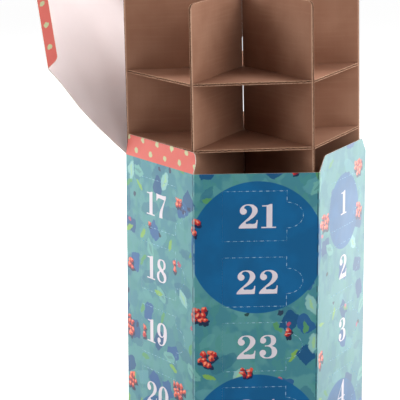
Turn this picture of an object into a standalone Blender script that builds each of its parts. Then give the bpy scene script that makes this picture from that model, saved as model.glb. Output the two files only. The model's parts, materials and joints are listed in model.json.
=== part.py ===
"""A hexagonal advent calendar of 24 compartments, in metres, +Z up.

A printed carton with 24 perforated doors, four to a side, is folded from one blank. A tray of slotted
corrugated board slides in from the top: six dividers run from the axis to the corners, and three shelves
and a base cross them, so each door has a compartment behind it. Here the tray is drawn part of the way
out of the carton, and the carton's lid stands open on the back left side.

The origin is the centre of the carton's underside. The front side faces -Y.
"""
import math

import bmesh
import bpy
from mathutils import Matrix, Vector

# Clearance between pieces that touch, and how far a cut runs past what it cuts
GAP = 0.0003
CUT_OVERRUN = 0.002

# Carton: one side of the hexagon over its outside, and the printed board
CARTON_SIDE = 0.115
BOARD = 0.0008

# Doors, from the rim down. A door is a rectangle with a rounded thumb tab on its free edge.
RIM_TO_DOOR = 0.0164
DOOR_SPACING = 0.0154
DOOR_TO_BASE = 0.0134
THUMB_ABOVE = 0.0107
THUMB_HALF_HEIGHT = 0.012
THUMB_BELOW = 0.0118
THUMB_REACH = 0.015
THUMB_TO_CORNER = 0.0145
HINGE_TO_CORNER = 0.0265
DOORS_PER_SIDE = 4
THUMB_STEPS = 10

# Bottom closure and the glued seam
BOTTOM_FLAP_DEPTH = 0.025
BOTTOM_FLAP_END_CUT = 0.004
GLUE_FLAP_WIDTH = 0.018
GLUE_FLAP_TAPER = 0.008
GLUE_FLAP_END = 0.005

# Tabs that stand on the rim: the two dotted ones beside the lid, and the printed one opposite it
DOTTED_TAB_HEIGHT = 0.0205
DOTTED_TAB_TAPER = 0.0062
DOTTED_TAB_FLARE = 0.0036
DOTTED_TAB_ROUNDING = 0.004
PRINTED_TAB_HEIGHT = 0.0135
PRINTED_TAB_TAPER = 0.011
PRINTED_TAB_ROUNDING = 0.002
FLARE_HEIGHT_SHARE = 0.6
FLARE_TOP_SHARE = 0.6
RIM_TAB_LEAN = math.radians(2.0)

# Lid, open: how far it leans out past upright, how far its lower half bows, and its two tuck tabs
LID_LEAN = math.radians(30.0)
LID_BOW = 0.006
LID_BOW_FADE_SHARE = 0.5
LID_STRIPS = 16
TUCK_DEPTH = 0.012
TUCK_TAPER = 0.0045
TUCK_ROUNDING = 0.004
TUCK_FOLD = math.radians(95.0)

# Tray of corrugated board
CORRUGATED = 0.0025
TRAY_CLEARANCE = 0.00283
TRAY_HEADROOM = 0.001
TRAY_FOOT = 0.0025
SHELVES = 3
PITCH_LOSS = 0.0011
CORE_SLIT = 0.0016
CORE_CLOSED_BAND = 0.036
SLOT_SHARE = 0.52
DIVIDER_ROUNDING = 0.006
TRAY_RAISED = 0.1554
TRAY_TILT = math.radians(1.02)
ROUND_STEPS = 5

# The hexagon: each side turns 60 degrees from the last, and its corners lie on the same spokes
TURN = math.radians(60.0)
HALF_TURN = TURN / 2
SIDE_NAMES = ("front_right", "back_right", "back", "back_left", "front_left", "front")

apothem = CARTON_SIDE * math.cos(HALF_TURN)
inner_apothem = apothem - BOARD
inner_half_side = inner_apothem * math.tan(HALF_TURN)
door_height = THUMB_ABOVE + 2 * THUMB_HALF_HEIGHT + THUMB_BELOW
door_pitch = door_height + DOOR_SPACING
carton_height = RIM_TO_DOOR + (DOORS_PER_SIDE - 1) * door_pitch + door_height + DOOR_TO_BASE
hinge_x = HINGE_TO_CORNER - CARTON_SIDE / 2
door_edge_x = CARTON_SIDE / 2 - THUMB_TO_CORNER - THUMB_REACH
crease_half = CARTON_SIDE / 2 - BOARD * math.tan(HALF_TURN) - GAP / math.cos(HALF_TURN)

tray_apothem = inner_apothem - TRAY_CLEARANCE
tray_radius = tray_apothem / math.cos(HALF_TURN)
floor_top = 2 * BOARD + GAP
shelf_pitch = door_pitch - PITCH_LOSS
tray_height = carton_height - TRAY_HEADROOM - floor_top - GAP
top_compartment = tray_height - TRAY_FOOT - CORRUGATED - SHELVES * shelf_pitch
slot_radius = SLOT_SHARE * tray_radius
slot_half = CORRUGATED / 2 + GAP
tray_top = TRAY_RAISED - TRAY_HEADROOM
# The tilted tray leans on the left corner of the rim with the edge of its left divider.
tray_shift = (inner_apothem - GAP - CORRUGATED / 2 * math.sin(HALF_TURN)) / math.cos(HALF_TURN) - tray_radius


def material(name, colour, roughness):
    """A matt paper or board finish of one colour."""
    made = bpy.data.materials.new(name)
    made.use_nodes = True
    shader = made.node_tree.nodes["Principled BSDF"]
    shader.inputs["Base Color"].default_value = (*colour, 1.0)
    shader.inputs["Roughness"].default_value = roughness
    shader.inputs["Metallic"].default_value = 0.0
    return made


def add_object(name, mesh, parent, finish=None, location=(0, 0, 0)):
    """Puts a mesh into the scene under its parent."""
    piece = bpy.data.objects.new(name, mesh)
    piece.parent = parent
    piece.location = location
    if finish and not mesh.materials:
        mesh.materials.append(finish)
    bpy.context.collection.objects.link(piece)
    return piece


def add_frame(name, parent=None, location=(0, 0, 0), rotation=(0, 0, 0)):
    """An empty that carries pieces at one place and angle."""
    frame = bpy.data.objects.new(name, None)
    frame.parent = parent
    frame.location = location
    frame.rotation_euler = rotation
    bpy.context.collection.objects.link(frame)
    return frame


def extrude_outline(bm, outline, depth):
    """Adds a closed slab: the outline's corners, swept by the depth vector."""
    face = bm.faces.new([bm.verts.new(corner) for corner in outline])
    swept = bmesh.ops.extrude_face_region(bm, geom=[face])
    moved = [item for item in swept["geom"] if isinstance(item, bmesh.types.BMVert)]
    bmesh.ops.translate(bm, verts=moved, vec=depth)


def slab_mesh(name, outlines, depth):
    """A mesh of one slab for each outline, all swept by the same vector."""
    bm = bmesh.new()
    for outline in outlines:
        extrude_outline(bm, outline, depth)
    bmesh.ops.recalc_face_normals(bm, faces=bm.faces)
    mesh = bpy.data.meshes.new(name)
    bm.to_mesh(mesh)
    bm.free()
    return mesh


def upright(points):
    """Points of a flat board that stands in the XZ plane."""
    return [Vector((x, 0, z)) for x, z in points]


def level(points, z):
    """Points of a flat board that lies at one height."""
    return [Vector((x, y, z)) for x, y in points]


def rounded(points, radii):
    """A flat outline with an arc at each corner that has a radius."""
    result = []
    for index, (point, radius) in enumerate(zip(points, radii)):
        corner = Vector(point)
        if radius == 0:
            result.append(tuple(corner))
            continue
        back = (Vector(points[index - 1]) - corner).normalized()
        ahead = (Vector(points[(index + 1) % len(points)]) - corner).normalized()
        half_angle = back.angle(ahead) / 2
        centre = corner + (back + ahead).normalized() * radius / math.sin(half_angle)
        start = corner + back * radius / math.tan(half_angle) - centre
        end = corner + ahead * radius / math.tan(half_angle) - centre
        for step in range(ROUND_STEPS + 1):
            share = step / ROUND_STEPS
            spoke = start.lerp(end, share).normalized() * radius
            result.append(tuple(centre + spoke))
    return result


def door_outline(margin, hinge):
    """A door seen from outside, its lower edge at height 0 and its sides moved out by a margin."""
    thumb_z = THUMB_BELOW + THUMB_HALF_HEIGHT
    points = [(hinge_x - hinge - margin, -margin), (door_edge_x - hinge + margin, -margin)]
    for step in range(THUMB_STEPS + 1):
        angle = math.pi * step / THUMB_STEPS - math.pi / 2
        across = door_edge_x - hinge + margin + THUMB_REACH * math.cos(angle)
        points.append((across, thumb_z + (THUMB_HALF_HEIGHT + margin) * math.sin(angle)))
    points += [
        (door_edge_x - hinge + margin, door_height + margin),
        (hinge_x - hinge - margin, door_height + margin),
    ]
    return points


def door_bottom(row):
    """Height of a door's lower edge, counting rows down from the rim."""
    return carton_height - RIM_TO_DOOR - door_height - row * door_pitch


def make_walls(sides, board):
    """Six panels, mitred at the folds, each with a window for every door."""
    outer_half = CARTON_SIDE / 2 - GAP / 2 / math.cos(HALF_TURN)
    inner_half = inner_half_side - GAP / 2 / math.cos(HALF_TURN)
    plan = [
        (-outer_half, -apothem),
        (outer_half, -apothem),
        (inner_half, -inner_apothem),
        (-inner_half, -inner_apothem),
    ]
    wall = slab_mesh("wall", [level(plan, 0)], Vector((0, 0, carton_height)))
    wall.materials.append(board)
    windows = []
    for row in range(DOORS_PER_SIDE):
        window = door_outline(GAP / 2, 0)
        lift = Vector((0, -apothem - CUT_OVERRUN, door_bottom(row)))
        windows.append([corner + lift for corner in upright(window)])
    cutter_mesh = slab_mesh("door_windows", windows, Vector((0, BOARD + 2 * CUT_OVERRUN, 0)))
    for name, side in sides.items():
        piece = add_object("wall_" + name, wall, side)
        cutter = add_object("windows_" + name, cutter_mesh, side)
        cutter.hide_render = True
        cutter.display_type = "WIRE"
        cut = piece.modifiers.new("windows", "BOOLEAN")
        cut.object = cutter
        cut.operation = "DIFFERENCE"


def make_doors(sides, board):
    """The doors, numbered down each side, each turning on a crease at its left edge."""
    mesh = slab_mesh("door", [upright(door_outline(-GAP / 2, hinge_x))], Vector((0, BOARD, 0)))
    for index, side in enumerate(sides.values()):
        for row in range(DOORS_PER_SIDE):
            number = index * DOORS_PER_SIDE + row + 1
            crease = (hinge_x, -apothem, door_bottom(row))
            add_object(f"door_{number:02d}", mesh, side, board, crease)


def make_bottom(sides, board):
    """The bottom panel, which folds in from the front wall, and the flaps glued on top of it."""
    panel_radius = (inner_apothem - GAP) / math.cos(HALF_TURN)
    corners = [(panel_radius * math.cos(TURN * k), panel_radius * math.sin(TURN * k)) for k in range(6)]
    panel = slab_mesh("bottom_panel", [level(corners, 0)], Vector((0, 0, BOARD)))
    add_object("bottom_panel", panel, None, board)
    half = inner_half_side - BOTTOM_FLAP_END_CUT
    wall_y = -inner_apothem + GAP
    flap = [
        (-half, wall_y),
        (half, wall_y),
        (half - BOTTOM_FLAP_DEPTH, wall_y + BOTTOM_FLAP_DEPTH),
        (BOTTOM_FLAP_DEPTH - half, wall_y + BOTTOM_FLAP_DEPTH),
    ]
    mesh = slab_mesh("bottom_flap", [level(flap, BOARD + GAP)], Vector((0, 0, BOARD)))
    for name, side in sides.items():
        if name != "front":
            add_object("bottom_flap_" + name, mesh, side, board)


def make_glue_flap(sides, board):
    """The seam flap that joins the blank's two ends, behind the back wall at its right corner."""
    low = floor_top + GAP + GLUE_FLAP_END
    high = carton_height - GLUE_FLAP_END
    seam_x = GAP - inner_half_side
    flap = [
        (seam_x, low),
        (seam_x + GLUE_FLAP_WIDTH, low + GLUE_FLAP_TAPER),
        (seam_x + GLUE_FLAP_WIDTH, high - GLUE_FLAP_TAPER),
        (seam_x, high),
    ]
    mesh = slab_mesh("glue_flap", [upright(flap)], Vector((0, BOARD, 0)))
    add_object("glue_flap", mesh, sides["back"], board, (0, GAP - inner_apothem, 0))


def make_rim_tabs(sides, dotted, printed):
    """Three tabs that stand on the rim, each on a frame at its crease, leaning out a little."""
    height = DOTTED_TAB_HEIGHT
    flared = [
        (-crease_half, GAP),
        (crease_half, GAP),
        (crease_half + DOTTED_TAB_FLARE, FLARE_HEIGHT_SHARE * height),
        (crease_half + DOTTED_TAB_FLARE * FLARE_TOP_SHARE, height),
        (DOTTED_TAB_TAPER - crease_half, height),
    ]
    radii = [0, 0, DOTTED_TAB_ROUNDING, DOTTED_TAB_ROUNDING / 2, DOTTED_TAB_ROUNDING / 4]
    outline = rounded(flared, radii)
    mirrored = [(-x, z) for x, z in reversed(outline)]
    plain = [
        (-crease_half, GAP),
        (crease_half, GAP),
        (crease_half - PRINTED_TAB_TAPER, PRINTED_TAB_HEIGHT),
        (PRINTED_TAB_TAPER - crease_half, PRINTED_TAB_HEIGHT),
    ]
    plain = rounded(plain, [0, 0, PRINTED_TAB_ROUNDING, PRINTED_TAB_ROUNDING])
    tabs = (
        ("front_left", outline, dotted),
        ("back", mirrored, dotted),
        ("front_right", plain, printed),
    )
    for side, points, finish in tabs:
        name = "rim_tab_" + side
        crease = (0, -apothem, carton_height)
        frame = add_frame(name + "_crease", sides[side], crease, (RIM_TAB_LEAN, 0, 0))
        mesh = slab_mesh(name, [upright(points)], Vector((0, BOARD, 0)))
        add_object(name, mesh, frame, finish)


def lid_bow(z):
    """How far the open lid bows outward at a distance from its crease: most near the crease's half."""
    share = z / apothem
    fade = min(max((share - LID_BOW_FADE_SHARE) / (1 - LID_BOW_FADE_SHARE), 0), 1)
    smooth = fade * fade * (3 - 2 * fade)
    return LID_BOW * math.sin(math.pi * min(max(share, 0), 1)) * (1 - smooth)


def make_lid(sides, lining, dotted):
    """The lid, hinged on the back left rim, and the two tuck tabs on its sides."""
    crease = (0, -apothem, carton_height)
    frame = add_frame("lid_crease", sides["back_left"], crease, (LID_LEAN, 0, 0))
    outline = [
        (-crease_half, GAP),
        (crease_half, GAP),
        (CARTON_SIDE, apothem),
        (CARTON_SIDE / 2, 2 * apothem),
        (-CARTON_SIDE / 2, 2 * apothem),
        (-CARTON_SIDE, apothem),
    ]
    bm = bmesh.new()
    extrude_outline(bm, upright(outline), Vector((0, BOARD, 0)))
    for strip in range(1, LID_STRIPS):
        cut = Vector((0, 0, apothem * strip / LID_STRIPS))
        everything = bm.verts[:] + bm.edges[:] + bm.faces[:]
        bmesh.ops.bisect_plane(bm, geom=everything, plane_co=cut, plane_no=(0, 0, 1))
    for vert in bm.verts:
        vert.co.y -= lid_bow(vert.co.z)
    bmesh.ops.recalc_face_normals(bm, faces=bm.faces)
    mesh = bpy.data.meshes.new("lid_panel")
    bm.to_mesh(mesh)
    bm.free()
    add_object("lid_panel", mesh, frame, lining)

    tab = [
        (GAP - CARTON_SIDE / 2, GAP),
        (CARTON_SIDE / 2 - GAP, GAP),
        (CARTON_SIDE / 2 - TUCK_TAPER, TUCK_DEPTH),
        (TUCK_TAPER - CARTON_SIDE / 2, TUCK_DEPTH),
    ]
    tab = rounded(tab, [0, 0, TUCK_ROUNDING, TUCK_ROUNDING])
    tab_mesh = slab_mesh("lid_tuck_tab", [upright(tab)], Vector((0, -BOARD, 0)))
    for name, way in (("lid_tuck_tab_front", 1), ("lid_tuck_tab_right", -1)):
        middle = Vector((way * 3 * CARTON_SIDE / 4, BOARD, 3 * apothem / 2))
        edge = add_frame(name + "_edge", frame, middle, (0, way * TURN, 0))
        fold = add_frame(name + "_crease", edge, (0, 0, 0), (-TUCK_FOLD, 0, 0))
        add_object(name, tab_mesh, fold, dotted)


def divider_outline():
    """A divider from the axis outward: rounded at its outer top corner, slotted from its inner edge."""
    def core(slit):
        """Radius at which two neighbouring inner edges leave this slit."""
        return (slit + CORRUGATED * math.cos(HALF_TURN)) / 2 / math.sin(HALF_TURN)

    inner = core(CORE_SLIT)
    closed = core(GAP)
    bottom = tray_top - tray_height
    points = [(inner, bottom), (tray_radius, bottom), (tray_radius, tray_top), (closed, tray_top)]
    radii = [0, 0, DIVIDER_ROUNDING, 0]
    points += [(closed, tray_top - CORE_CLOSED_BAND), (inner, tray_top - CORE_CLOSED_BAND)]
    radii += [0, 0]
    for shelf in range(SHELVES + 1):
        top = tray_top - top_compartment - shelf * shelf_pitch
        upper = top + GAP
        lower = top - CORRUGATED - GAP
        end = slot_radius + GAP
        points += [(inner, upper), (end, upper), (end, lower), (inner, lower)]
        radii += [0, 0, 0, 0]
    return rounded(points, radii)


def shelf_outline():
    """A hexagonal shelf, slotted from each corner to take a divider."""
    mouth = tray_radius - slot_half * math.tan(HALF_TURN)
    slot = [(mouth, -slot_half), (slot_radius, -slot_half), (slot_radius, slot_half), (mouth, slot_half)]
    points = []
    for k in range(6):
        spoke = Matrix.Rotation(TURN * k, 2)
        points += [tuple(spoke @ Vector(corner)) for corner in slot]
    return points


def make_tray(kraft):
    """Six dividers and four slotted plates, on one frame that is raised, shifted and tilted."""
    tray = add_frame("tray", None, (-tray_shift, 0, carton_height), (0, -TRAY_TILT, 0))
    outline = [Vector((r, -CORRUGATED / 2, z)) for r, z in divider_outline()]
    divider = slab_mesh("divider", [outline], Vector((0, CORRUGATED, 0)))
    for k, name in enumerate(("right", "back_right", "back_left", "left", "front_left", "front_right")):
        piece = add_object("divider_" + name, divider, tray, kraft)
        piece.rotation_euler = (0, 0, TURN * k)
    shelf = slab_mesh("shelf", [level(shelf_outline(), 0)], Vector((0, 0, -CORRUGATED)))
    for index, name in enumerate(("shelf_1", "shelf_2", "shelf_3", "tray_base")):
        top = tray_top - top_compartment - index * shelf_pitch
        add_object(name, shelf, tray, kraft, (0, 0, top))


def build():
    """Clears the scene and makes the whole calendar."""
    for old in list(bpy.data.objects):
        bpy.data.objects.remove(old, do_unlink=True)
    printed = material("printed_board", (0.12, 0.32, 0.36), 0.55)
    dotted = material("dotted_board", (0.87, 0.22, 0.16), 0.55)
    lining = material("white_board", (0.86, 0.82, 0.80), 0.7)
    kraft = material("corrugated_kraft", (0.36, 0.21, 0.13), 0.85)
    sides = {}
    for k, name in enumerate(SIDE_NAMES):
        sides[name] = add_frame("side_" + name, rotation=(0, 0, TURN * (k + 1)))
    make_walls(sides, printed)
    make_doors(sides, printed)
    make_bottom(sides, lining)
    make_glue_flap(sides, lining)
    make_rim_tabs(sides, dotted, printed)
    make_lid(sides, lining, dotted)
    make_tray(kraft)


build()
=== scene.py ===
"""The looks of a hexagonal advent calendar: printed carton, 24 doors, open lid and corrugated tray."""
import json
import math

import bpy
from mathutils import Matrix, Vector


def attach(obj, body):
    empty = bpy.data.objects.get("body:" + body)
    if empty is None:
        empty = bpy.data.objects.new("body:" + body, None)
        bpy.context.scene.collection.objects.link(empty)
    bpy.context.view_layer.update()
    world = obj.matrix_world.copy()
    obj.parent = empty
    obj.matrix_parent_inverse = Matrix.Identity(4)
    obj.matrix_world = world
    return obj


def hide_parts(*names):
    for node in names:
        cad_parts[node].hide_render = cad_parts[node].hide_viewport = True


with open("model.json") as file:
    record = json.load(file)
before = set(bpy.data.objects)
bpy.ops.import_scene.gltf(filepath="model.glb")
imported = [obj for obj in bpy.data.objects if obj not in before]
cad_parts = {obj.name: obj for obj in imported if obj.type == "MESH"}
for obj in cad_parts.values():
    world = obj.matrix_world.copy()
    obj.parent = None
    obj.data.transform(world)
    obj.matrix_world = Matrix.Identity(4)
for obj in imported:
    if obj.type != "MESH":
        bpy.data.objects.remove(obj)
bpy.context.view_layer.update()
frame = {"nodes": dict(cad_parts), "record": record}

bpy.ops.object.select_all(action="DESELECT")


# ---- Studio ----
# A small product set: a camera a little above the rim, a pale floor that runs on as the backdrop,
# and large soft lamps all round, the strongest behind, so that the two slanting sides shine.
CAMERA_PLACE = Vector((-0.17595, -1.89547, 0.64077))
CAMERA_YAW = math.radians(3.97)
CAMERA_DOWN = math.radians(12.60)
CAMERA_ROLL = math.radians(0.13)
# Sensor and lens in millimetres, all else in metres
FRAME_SIDE = 36.0
LENS = 183.36
FLOOR_SIZE = 24
FLOOR_DROP = 0.0002
WHITE = (1, 1, 1, 1)
# How strongly the backdrop shows in the varnish, and how much of its light falls on the object
MIRRORED_WHITE = 2.8
DIM_SKY = 0.015


def place(tree, kind, inputs=None, **settings):
    """Adds a shader node. Each input is a value, or the output of another node."""
    node = tree.nodes.new(kind)
    for name, value in settings.items():
        setattr(node, name, value)
    for name, value in (inputs or {}).items():
        if isinstance(value, bpy.types.NodeSocket):
            tree.links.new(value, node.inputs[name])
        else:
            node.inputs[name].default_value = value
    return node


def sums(tree, operation, *values, clamp=False):
    """One step of arithmetic on node outputs and numbers."""
    step = place(tree, "ShaderNodeMath", dict(enumerate(values)), operation=operation, use_clamp=clamp)
    return step.outputs[0]


def ramp(tree, value, start, end, low, high, kind="LINEAR"):
    """A step from low to high as the value goes from start to end."""
    step = place(tree, "ShaderNodeMapRange", {0: value, 1: start, 2: end, 3: low, 4: high},
                 interpolation_type=kind)
    return step.outputs[0]


def smooth(tree, value, start, end, low=0.0, high=1.0):
    """The same step, soft at both ends."""
    return ramp(tree, value, start, end, low, high, "SMOOTHSTEP")


bpy.ops.object.camera_add(location=CAMERA_PLACE)
camera = bpy.context.object
camera.name = "camera"
camera.rotation_mode = "QUATERNION"
turned = Matrix.Rotation(-CAMERA_YAW, 4, "Z") @ Matrix.Rotation(math.pi / 2 - CAMERA_DOWN, 4, "X")
camera.rotation_quaternion = (turned @ Matrix.Rotation(-CAMERA_ROLL, 4, "Z")).to_quaternion()
camera.data.sensor_width = FRAME_SIDE
camera.data.lens = LENS
camera.data.clip_start = 0.05
camera.data.clip_end = 60
bpy.context.scene.camera = camera
bpy.context.scene.view_settings.view_transform = "Standard"

bpy.ops.mesh.primitive_plane_add(size=FLOOR_SIZE, location=(0, 0, -FLOOR_DROP))
floor = bpy.context.object
floor.name = "studio_floor"
paper = bpy.data.materials.new("studio_paper")
paper.use_nodes = True
tree = paper.node_tree
tree.nodes.clear()
seen = place(tree, "ShaderNodeLightPath")
spot = place(tree, "ShaderNodeTexCoord").outputs["Object"]
# The camera sees the paper glow white all round, less so by the object, where its shadow lies. A
# reflection finds it white behind the object, and black in front.
away = place(tree, "ShaderNodeVectorMath", {0: spot}, operation="LENGTH").outputs["Value"]
near = smooth(tree, away, 0.1, 0.8, 0.3, 0.85)
far = ramp(tree, away, 1.5, 5.0, 0.0, 0.2)
direct = sums(tree, "MULTIPLY", seen.outputs["Is Camera Ray"], sums(tree, "ADD", near, far))
back = place(tree, "ShaderNodeSeparateXYZ", {0: spot}).outputs[1]
behind = ramp(tree, back, -0.12, 0.4, 0.0, MIRRORED_WHITE)
mirrored = sums(tree, "MULTIPLY", seen.outputs["Is Glossy Ray"], behind)
glow = place(tree, "ShaderNodeEmission", {"Color": WHITE, "Strength": sums(tree, "ADD", direct, mirrored)})
front = sums(tree, "SUBTRACT", seen.outputs["Is Glossy Ray"], mirrored)
matt = place(tree, "ShaderNodeBsdfDiffuse", {"Color": ramp(tree, front, 0.0, 1.0, 0.8, 0.0)})
both = place(tree, "ShaderNodeAddShader", {0: matt.outputs[0], 1: glow.outputs[0]})
place(tree, "ShaderNodeOutputMaterial", {"Surface": both.outputs[0]})
floor.data.materials.append(paper)

world = bpy.data.worlds.new("studio")
bpy.context.scene.world = world
world.use_nodes = True
tree = world.node_tree
tree.nodes.clear()
seen = place(tree, "ShaderNodeLightPath")
back = place(tree, "ShaderNodeSeparateXYZ", {0: place(tree, "ShaderNodeTexCoord").outputs["Generated"]})
behind = ramp(tree, back.outputs[1], -0.1, 0.3, 0.0, MIRRORED_WHITE)
mirrored = sums(tree, "MULTIPLY", seen.outputs["Is Glossy Ray"], behind)
level = sums(tree, "MAXIMUM", sums(tree, "ADD", seen.outputs["Is Camera Ray"], mirrored), DIM_SKY)
sky = place(tree, "ShaderNodeBackground", {"Color": WHITE, "Strength": level})
place(tree, "ShaderNodeOutputWorld", {"Surface": sky.outputs[0]})

# Each lamp: its bearing from the right side in degrees, distance and height, its panel, and its power
LAMPS = (
    ("rear_right", 38, 1.3, 0.65, 1.2, 0.9, 16.5),
    ("rear_left", 153, 1.3, 0.65, 1.2, 0.9, 12.0),
    ("side_right", -18, 1.3, 0.7, 1.0, 1.0, 5.6),
    ("side_left", 195, 1.3, 0.7, 1.0, 1.0, 8.0),
    ("front_right", -56, 1.5, 0.9, 1.0, 1.0, 8.0),
    ("high_left", -135, 1.2, 1.3, 0.8, 0.8, 1.2),
    ("front_low", -90, 1.2, 0.06, 1.2, 0.5, 0.6),
    ("front_high", -90, 1.8, 1.2, 1.2, 1.0, 0.6),
    ("back_high", 90, 1.0, 1.6, 0.8, 0.8, 26.0),
    ("high_right", -6, 1.0, 1.5, 0.8, 0.8, 6.5),
)
LAMPS_AIM = Vector((0, 0, 0.25))
for name, bearing, away, up, width, height, watts in LAMPS:
    at = Vector((away * math.cos(math.radians(bearing)), away * math.sin(math.radians(bearing)), up))
    bpy.ops.object.light_add(type="AREA", location=at)
    lamp = bpy.context.object
    lamp.name = name
    lamp.data.shape = "RECTANGLE"
    lamp.data.size = width
    lamp.data.size_y = height
    lamp.data.energy = watts
    lamp.rotation_euler = (LAMPS_AIM - at).to_track_quat("-Z", "Y").to_euler()


# ---- Carton walls ----
# Six panels of one folded blank: white board 0.8 mm thick, printed and varnished outside, plain inside.
# The folds are creased, so they have a small radius, and each panel has four windows where the doors lie.
SIDE = 0.115
BOARD = 0.0008
HEIGHT = 0.262
FOLD_RADIUS = 0.0012
SMOOTH_BELOW = math.radians(35)
DOOR_WIDTH = 0.059
DOOR_HEIGHT = 0.0465
DOOR_PITCH = 0.0619
DOOR_ROWS = 4
TOP_MARGIN = 0.0164
TOP_DOOR = HEIGHT - TOP_MARGIN - DOOR_HEIGHT
HINGE_X = -0.031
THUMB_UP = 0.0238
THUMB_REACH = 0.015
THUMB_HALF = 0.012
DOOR_CUT = 0.00004
CUT_PAST = 0.002
apothem = SIDE * math.cos(math.pi / 6)
# Every side and its place round the carton, counted from the front. The glued seam is at the back
# right corner
SIDES = {"front_right": 1, "back_right": 2, "back": -3, "back_left": -2, "front_left": -1, "front": 0}


def chosen(piece):
    """Makes this piece the only selected one."""
    bpy.ops.object.select_all(action="DESELECT")
    piece.select_set(True)
    bpy.context.view_layer.objects.active = piece
    return piece


def shaped(piece, kind, **settings):
    """Adds one modifier and applies it."""
    chosen(piece)
    modifier = piece.modifiers.new(kind.lower(), kind)
    for name, value in settings.items():
        setattr(modifier, name, value)
    bpy.ops.object.modifier_apply(modifier=modifier.name)
    return piece


def settled(piece, matrix=None):
    """Puts a piece in its place and leaves that place in its mesh."""
    if matrix is not None:
        piece.matrix_world = matrix @ piece.matrix_world
    chosen(piece)
    bpy.ops.object.transform_apply(location=True, rotation=True, scale=True)
    return piece


def discarded(*pieces):
    """Removes pieces that were only tools or patterns."""
    for piece in pieces:
        bpy.data.objects.remove(piece, do_unlink=True)


def cut_with(piece, tool, operation="DIFFERENCE"):
    """Cuts a piece with another, which is used up."""
    shaped(piece, "BOOLEAN", object=tool, operation=operation, solver="EXACT")
    discarded(tool)
    return piece


def side_matrix(name, height=0.0):
    """The place of a side: X to the right seen from outside, Y inward from its outer face, Z up."""
    return Matrix.Rotation(SIDES[name] * math.pi / 3, 4, "Z") @ Matrix.Translation((0, -apothem, height))


def door_blank(margin, outer, inner):
    """A door's outline with its thumb tab, as a solid between two depths, its lower edge at height 0."""
    depth = inner - outer
    middle = (outer + inner) / 2
    bpy.ops.mesh.primitive_cube_add(size=1, location=(HINGE_X + DOOR_WIDTH / 2, middle, DOOR_HEIGHT / 2),
                                    scale=(DOOR_WIDTH + 2 * margin, depth, DOOR_HEIGHT + 2 * margin))
    flat = settled(bpy.context.object)
    bpy.ops.mesh.primitive_cylinder_add(vertices=64, radius=1, depth=1,
                                        location=(HINGE_X + DOOR_WIDTH, middle, THUMB_UP),
                                        rotation=(math.pi / 2, 0, 0),
                                        scale=(THUMB_REACH + margin, THUMB_HALF + margin, depth))
    thumb = settled(bpy.context.object)
    return cut_with(flat, thumb, "UNION")


def ink(red, green, blue):
    """A colour as a shader takes it, from its 0 to 255 screen values."""
    shares = [value / 255 for value in (red, green, blue)]
    lit = [s / 12.92 if s < 0.04045 else ((s + 0.055) / 1.055) ** 2.4 for s in shares]
    return (*lit, 1.0)


def vectors(tree, operation, *values):
    """One step of vector arithmetic."""
    return place(tree, "ShaderNodeVectorMath", dict(enumerate(values)), operation=operation).outputs[0]


def over(tree, under, colour, share):
    """Lays one colour over another by a share."""
    return place(tree, "ShaderNodeMix", {0: share, 6: under, 7: colour}, data_type="RGBA").outputs[2]


def noise(tree, spot, scale, detail=2.0, dimensions="3D"):
    """Clouds or grains, by their scale."""
    return place(tree, "ShaderNodeTexNoise", {"Vector": spot, "Scale": scale, "Detail": detail},
                 noise_dimensions=dimensions)


def cells(tree, spot, uneven):
    """Cells about one point in each unit square, more or less off its place."""
    return place(tree, "ShaderNodeTexVoronoi", {"Vector": spot, "Scale": 1.0, "Randomness": uneven},
                 voronoi_dimensions="2D")


def off_middle(tree, turns, pitch):
    """How far a place lies off the middle of its own repeat, from its count of repeats."""
    return sums(tree, "MULTIPLY", sums(tree, "SUBTRACT", sums(tree, "FRACT", turns), 0.5), pitch)


def wavered(tree, spot, waver, amount):
    """Moves a place to and fro by a noise, as a brush or a rough plate does."""
    shift = vectors(tree, "SUBTRACT", waver.outputs["Color"], (0.5, 0.5, 0.5))
    return vectors(tree, "ADD", spot, vectors(tree, "MULTIPLY", shift, (amount, amount, 0.0)))


def new_group(name, takes, gives):
    """An empty node group, with what it takes in, each with a starting value, and what it hands out."""
    group = bpy.data.node_groups.new(name, "ShaderNodeTree")
    for label, value in takes.items():
        kind = "NodeSocketVector" if isinstance(value, tuple) else "NodeSocketFloat"
        socket = group.interface.new_socket(label, in_out="INPUT", socket_type=kind)
        socket.default_value = value
    for label, kind in gives.items():
        group.interface.new_socket(label, in_out="OUTPUT", socket_type="NodeSocket" + kind)
    return group, group.nodes.new("NodeGroupInput").outputs, group.nodes.new("NodeGroupOutput").inputs


# Brush dabs: one in each cell of an uneven field, turned by chance, from pointed to squarish
dabs, given, handed = new_group(
    "scattered_dabs",
    {"Vector": (0, 0, 0), "Cell": 0.02, "Length": 0.008, "Width": 0.004, "Shape": 2.0, "Share": 0.5,
     "Seed": 0.0},
    {"Mask": "Float", "Tone": "Float", "Place": "Vector"})
spread_out = vectors(dabs, "ADD", vectors(dabs, "DIVIDE", given["Vector"], given["Cell"]), given["Seed"])
field = cells(dabs, spread_out, 0.9)
chance = place(dabs, "ShaderNodeSeparateColor", {0: field.outputs["Color"]})
offset = vectors(dabs, "MULTIPLY", vectors(dabs, "SUBTRACT", spread_out, field.outputs["Position"]),
                 given["Cell"])
angle = sums(dabs, "MULTIPLY", sums(dabs, "SUBTRACT", chance.outputs[0], 0.5), math.tau)
laid = place(dabs, "ShaderNodeVectorRotate", {"Vector": offset, "Angle": angle}, rotation_type="Z_AXIS")
split = place(dabs, "ShaderNodeSeparateXYZ", {0: laid.outputs[0]})
along = sums(dabs, "ABSOLUTE", sums(dabs, "DIVIDE", split.outputs[0], given["Length"]))
across = sums(dabs, "ABSOLUTE", sums(dabs, "DIVIDE", split.outputs[1], given["Width"]))
reach = sums(dabs, "ADD", sums(dabs, "POWER", along, given["Shape"]),
             sums(dabs, "POWER", across, given["Shape"]))
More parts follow.
